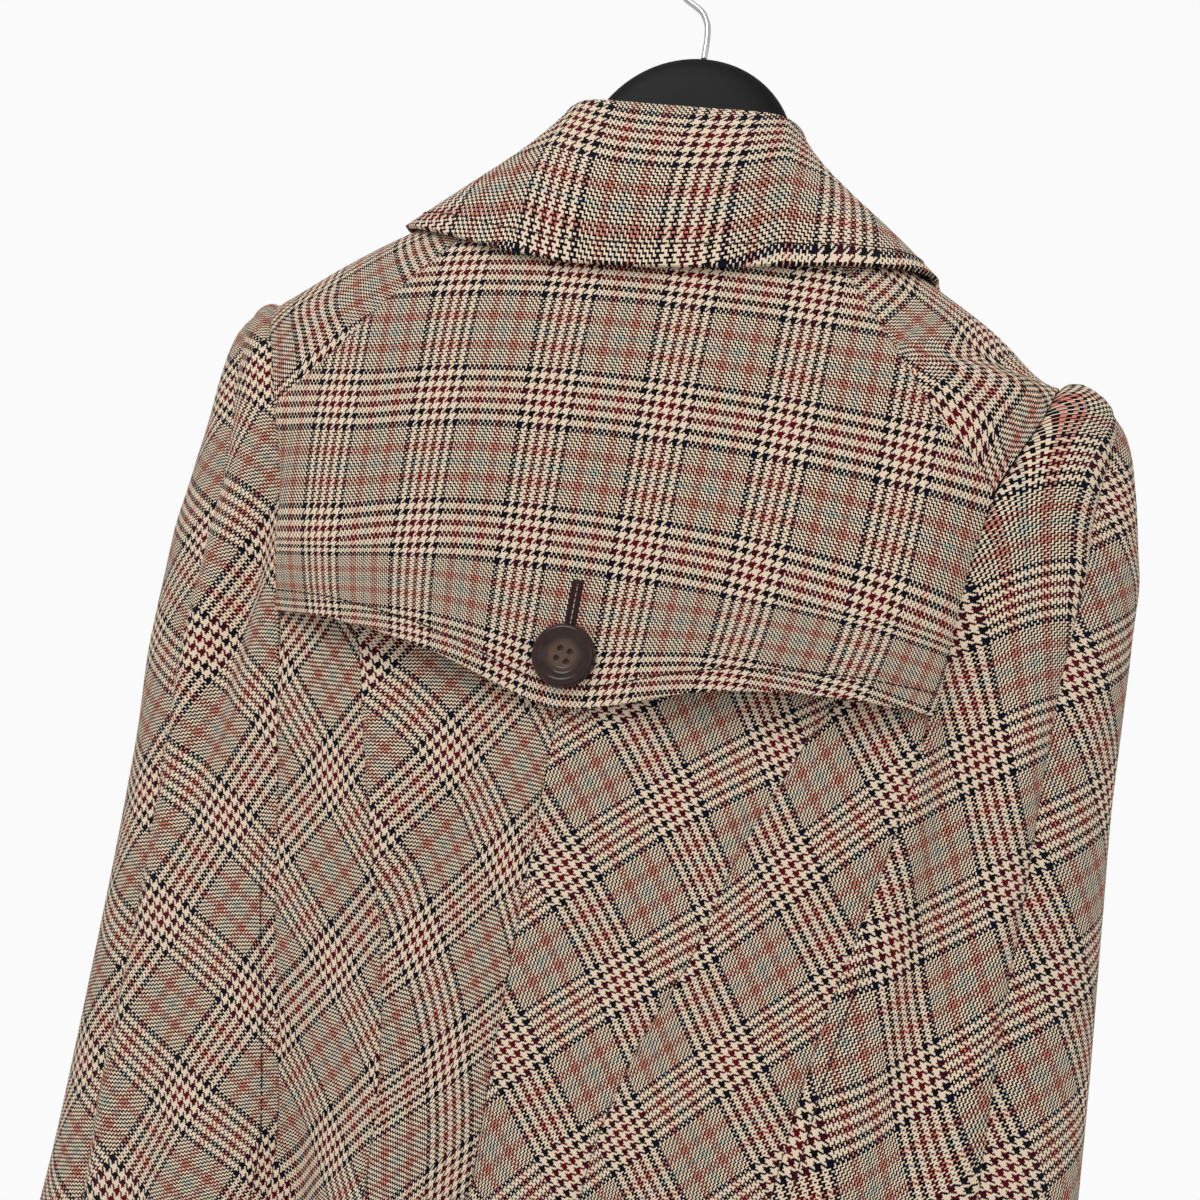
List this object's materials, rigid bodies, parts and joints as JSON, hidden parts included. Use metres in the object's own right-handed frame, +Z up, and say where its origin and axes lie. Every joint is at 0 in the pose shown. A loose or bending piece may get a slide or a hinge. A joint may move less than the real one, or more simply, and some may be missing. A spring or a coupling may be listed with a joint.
{
  "type": "cape coat on a hanger",
  "caption": "Checked cape coat with a buttoned storm flap across the back, a wide turned-down collar and cape sides, hung on a moulded hanger.",
  "frame": {"origin": "the inside top of the hanger's hook, where a rail carries it", "axes": "+Z up; the back of the coat, with the flap, faces +Y and its front faces -Y; +X is the wearer's left"},
  "size_m": [0.526, 0.2415, 1.0132],
  "materials": {
    "coat_cloth": "napped wool twill in a cream, near-black, navy, burgundy and coral glen check",
    "button_horn": "polished dark brown, horn-like, with a lighter centre",
    "hanger_plastic": "black moulded plastic, satin",
    "hook_wire": "bright plated wire"
  },
  "bodies": {
    "root": {"back_left": "coat_cloth", "back_right": "coat_cloth", "side_back_left": "coat_cloth", "side_back_right": "coat_cloth", "cape_back_left": "coat_cloth", "cape_back_right": "coat_cloth", "cape_front_left": "coat_cloth", "cape_front_right": "coat_cloth", "front_left": "coat_cloth", "front_right": "coat_cloth", "yoke_left": "coat_cloth", "yoke_right": "coat_cloth", "storm_flap": "coat_cloth", "collar": "coat_cloth", "button_back": "button_horn", "button_front_1": "button_horn", "button_front_2": "button_horn", "button_front_3": "button_horn", "button_front_4": "button_horn", "hanger_body": "hanger_plastic", "hanger_hook": "hook_wire"}
  },
  "joints": []
}
